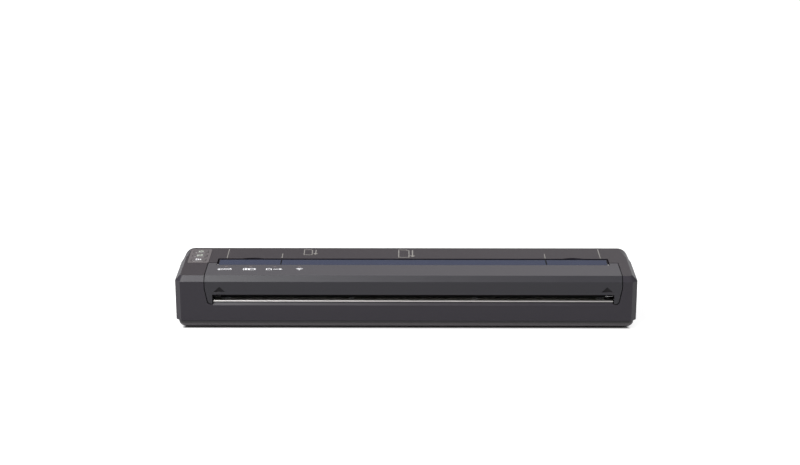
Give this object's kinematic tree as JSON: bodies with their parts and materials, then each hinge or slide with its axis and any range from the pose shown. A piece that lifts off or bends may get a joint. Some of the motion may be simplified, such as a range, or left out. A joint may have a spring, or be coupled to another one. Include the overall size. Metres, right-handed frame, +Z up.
{
  "type": "portable thermal printer",
  "caption": "Slim bar-shaped portable thermal printer for A4 paper, with a hinged release cover over its platen and print head, a top paper inlet and a front outlet.",
  "frame": {"origin": "middle of the underside, on the surface that the rubber feet stand on", "axes": "+X to the right along the length, -Y towards the paper outlet at the front, +Z up"},
  "size_m": [0.255, 0.055, 0.0314],
  "materials": {
    "casing_plastic": "fine moulded texture, charcoal",
    "tray_plastic": "fine moulded texture, charcoal",
    "trim_gloss": "smooth dark blue gloss",
    "bright_steel": "ground bright",
    "zinc_steel": "zinc plated",
    "spring_steel": "rolled",
    "contact_metal": "gold flashed",
    "chassis_plastic": "black, glass filled",
    "gear_plastic": "natural acetal",
    "pinion_brass": "machined",
    "platen_rubber": "ground",
    "foot_rubber": "matte",
    "head_ceramic": "glazed ceramic",
    "sink_aluminium": "drawn",
    "panel_plastic": "soft matt, warm grey",
    "key_plastic": "soft matt, warm grey",
    "board_laminate": "solder-masked laminate",
    "switch_plastic": "moulded",
    "lamp_clear": "clear moulded",
    "battery_wrap": "shrink-wrapped black"
  },
  "bodies": {
    "base": {"upper_casing": "casing_plastic", "bottom_casing": "tray_plastic", "hinge_pins": "bright_steel", "tear_bar": "bright_steel", "tear_bar_screws": "bright_steel", "chassis": "chassis_plastic", "chassis_screws": "zinc_steel", "paper_guide": "chassis_plastic", "paper_sensor": "chassis_plastic", "platen_bushes": "gear_plastic", "gear_axles": "bright_steel", "axle_clips": "zinc_steel", "drive_motor": "zinc_steel", "motor_screws": "zinc_steel", "key_panel": "panel_plastic", "key_board": "board_laminate", "key_switches": "switch_plastic", "main_board": "board_laminate", "board_parts": "chassis_plastic", "board_screws": "zinc_steel", "dc_jack": "chassis_plastic", "usb_socket": "zinc_steel", "battery_pack": "battery_wrap", "battery_contacts": "contact_metal", "rubber_feet": "foot_rubber", "case_screws": "zinc_steel"},
    "cover": {"release_cover": "casing_plastic", "cover_trim_strip": "trim_gloss", "head_bracket": "zinc_steel", "bracket_screws": "zinc_steel", "head_pins": "bright_steel", "head_springs": "spring_steel", "indicator_board": "board_laminate", "led_light_pipes": "lamp_clear"},
    "head": {"print_head": "head_ceramic", "heat_sink": "sink_aluminium"},
    "platen": {"platen_shaft": "bright_steel", "platen_roller": "platen_rubber", "platen_gear": "gear_plastic", "shaft_clip": "zinc_steel"},
    "idler": {"idler_gear": "gear_plastic"},
    "reduction": {"reduction_gear": "gear_plastic"},
    "rotor": {"motor_shaft": "bright_steel", "motor_pinion": "pinion_brass"},
    "feed_key": {"feed_key": "key_plastic"},
    "wireless_key": {"wireless_key": "key_plastic"},
    "power_key": {"power_key": "key_plastic"},
    "battery_door": {"battery_cover": "tray_plastic"},
    "port_flap": {"port_cover": "foot_rubber"}
  },
  "joints": [
    {"name": "cover_hinge", "type": "hinge", "parent": "base", "child": "cover", "pos_m": [0.0039, -0.001, 0.0281], "axis": [-1, 0, 0], "range_deg": [0, 72]},
    {"name": "head_press", "type": "slide", "parent": "cover", "child": "head", "axis": [0, 0, 1], "range_m": [0, 0.0005], "stiffness_N_per_m": 2000, "springref_m": -0.001, "deforming": ["head_springs"]},
    {"name": "platen_spin", "type": "hinge", "parent": "base", "child": "platen", "pos_m": [0.0039, -0.014, 0.0133], "axis": [1, 0, 0], "continuous": true},
    {"name": "idler_spin", "type": "hinge", "parent": "base", "child": "idler", "pos_m": [-0.115, -0.00102, 0.0096], "axis": [1, 0, 0], "continuous": true},
    {"name": "reduction_spin", "type": "hinge", "parent": "base", "child": "reduction", "pos_m": [-0.115, 0.00507, 0.0169], "axis": [1, 0, 0], "continuous": true},
    {"name": "motor_spin", "type": "hinge", "parent": "base", "child": "rotor", "pos_m": [-0.115, 0.015, 0.0135], "axis": [1, 0, 0], "continuous": true},
    {"name": "feed_key_press", "type": "slide", "parent": "base", "child": "feed_key", "axis": [0, 0, -1], "range_m": [0, 0.0005], "stiffness_N_per_m": 300, "springref_m": -0.0003},
    {"name": "wireless_key_press", "type": "slide", "parent": "base", "child": "wireless_key", "axis": [0, 0, -1], "range_m": [0, 0.0005], "stiffness_N_per_m": 300, "springref_m": -0.0003},
    {"name": "power_key_press", "type": "slide", "parent": "base", "child": "power_key", "axis": [0, 0, -1], "range_m": [0, 0.0005], "stiffness_N_per_m": 300, "springref_m": -0.0003},
    {"name": "battery_cover_slide", "type": "slide", "parent": "base", "child": "battery_door", "axis": [0, 1, 0], "range_m": [0, 0.005]},
    {"name": "port_cover_hinge", "type": "hinge", "parent": "base", "child": "port_flap", "pos_m": [0.12675, 0.01935, 0.0141], "axis": [0, 0, 1], "range_deg": [0, 100]}
  ],
  "couplings": [
    {"joint": "idler_spin", "follows": "platen_spin", "ratio": -1.25},
    {"joint": "reduction_spin", "follows": "platen_spin", "ratio": 2.1429},
    {"joint": "motor_spin", "follows": "platen_spin", "ratio": -5.3571}
  ]
}
